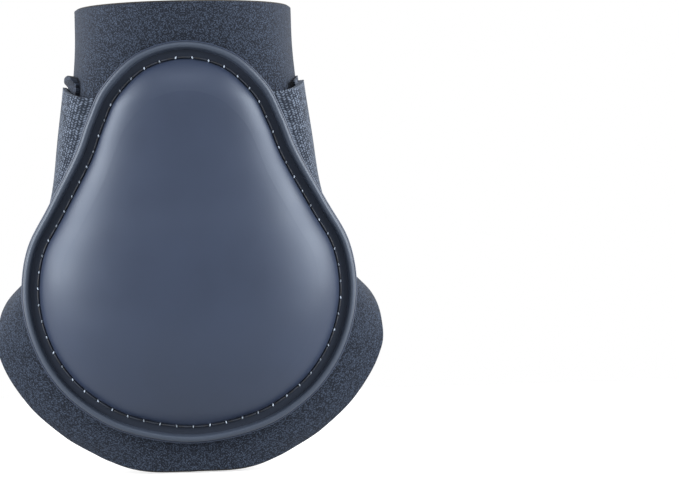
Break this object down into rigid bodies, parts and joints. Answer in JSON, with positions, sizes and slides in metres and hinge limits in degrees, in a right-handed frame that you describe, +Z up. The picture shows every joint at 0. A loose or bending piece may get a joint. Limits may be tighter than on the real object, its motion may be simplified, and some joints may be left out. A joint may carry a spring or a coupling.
{
  "type": "fetlock boot",
  "caption": "Hind fetlock boot: domed shell sewn to a flared padded neoprene liner that wraps the leg, open at the rear and closed by a wide hook-and-loop strap.",
  "frame": {"origin": "On the axis of the leg that the cuff goes round, level with the lowest point of the liner's front edge", "axes": "+X to the wearer side on which the closing strap is sewn, +Y to the rear opening, +Z up the leg; the strike shell faces -Y"},
  "size_m": [0.14, 0.0987, 0.168],
  "materials": {
    "moulded_polyurethane": "moulded slate-navy polyurethane, soft satin",
    "bonded_thread": "bonded polyester sewing thread, navy",
    "jersey": "stretch jersey laminated to foam, slate navy",
    "neoprene": "closed-cell neoprene foam, raw cut edge",
    "lining": "smooth knitted lining, navy",
    "loop_webbing": "brushed loop elastic with ribbed selvages, slate navy",
    "hook_tape": "moulded nylon hook tape, black",
    "clear_rubber": "moulded translucent soft rubber, left blank",
    "satin_tape": "folded woven satin tape, white, left blank"
  },
  "bodies": {
    "guard": {"strike_shell": "moulded_polyurethane", "shell_stitching": "bonded_thread", "front_face_fabric": "jersey", "front_foam_core": "neoprene", "front_lining": "lining", "strap_root": "loop_webbing", "loop_strap_root": "loop_webbing", "inner_band_end": "jersey"},
    "right_flap": {"right_face_fabric": "jersey", "right_foam_core": "neoprene", "right_lining": "lining", "blank_label": "clear_rubber", "size_tag": "satin_tape"},
    "left_flap": {"left_face_fabric": "jersey", "left_foam_core": "neoprene", "left_lining": "lining", "loop_strap": "loop_webbing", "inner_band": "jersey"},
    "strap_side": {"strap_side": "loop_webbing"},
    "strap_rear": {"strap_rear": "loop_webbing"},
    "strap_tab": {"strap_tab": "loop_webbing", "hook_tape": "hook_tape"}
  },
  "joints": [
    {"name": "strap_open", "type": "hinge", "parent": "guard", "child": "strap_side", "pos_m": [0.05311, -0.00525, 0.11692], "axis": [0.2337, -0.0165, -0.9722], "range_deg": [0, 75]},
    {"name": "strap_rear_fold", "type": "hinge", "parent": "strap_side", "child": "strap_rear", "pos_m": [0.02586, 0.03561, 0.11202], "axis": [0.0101, -0.0463, -0.9989], "range_deg": [0, 64]},
    {"name": "strap_tab_fold", "type": "hinge", "parent": "strap_rear", "child": "strap_tab", "pos_m": [-0.02234, 0.03827, 0.11157], "axis": [-0.0012, -0.0584, -0.9983], "range_deg": [0, 64]},
    {"name": "right_flap_open", "type": "hinge", "parent": "guard", "child": "right_flap", "pos_m": [0.05311, -0.00525, 0.11692], "axis": [0.2337, -0.0165, -0.9722], "range_deg": [0, 27.5]},
    {"name": "left_flap_open", "type": "hinge", "parent": "guard", "child": "left_flap", "pos_m": [-0.05311, -0.00525, 0.11692], "axis": [0.2337, 0.0165, 0.9722], "range_deg": [0, 38]}
  ],
  "couplings": [
    {"joint": "strap_rear_fold", "follows": "strap_open", "ratio": 0.85},
    {"joint": "strap_tab_fold", "follows": "strap_open", "ratio": 0.84},
    {"joint": "right_flap_open", "follows": "strap_open", "ratio": 0.36},
    {"joint": "left_flap_open", "follows": "strap_open", "ratio": 0.5}
  ]
}
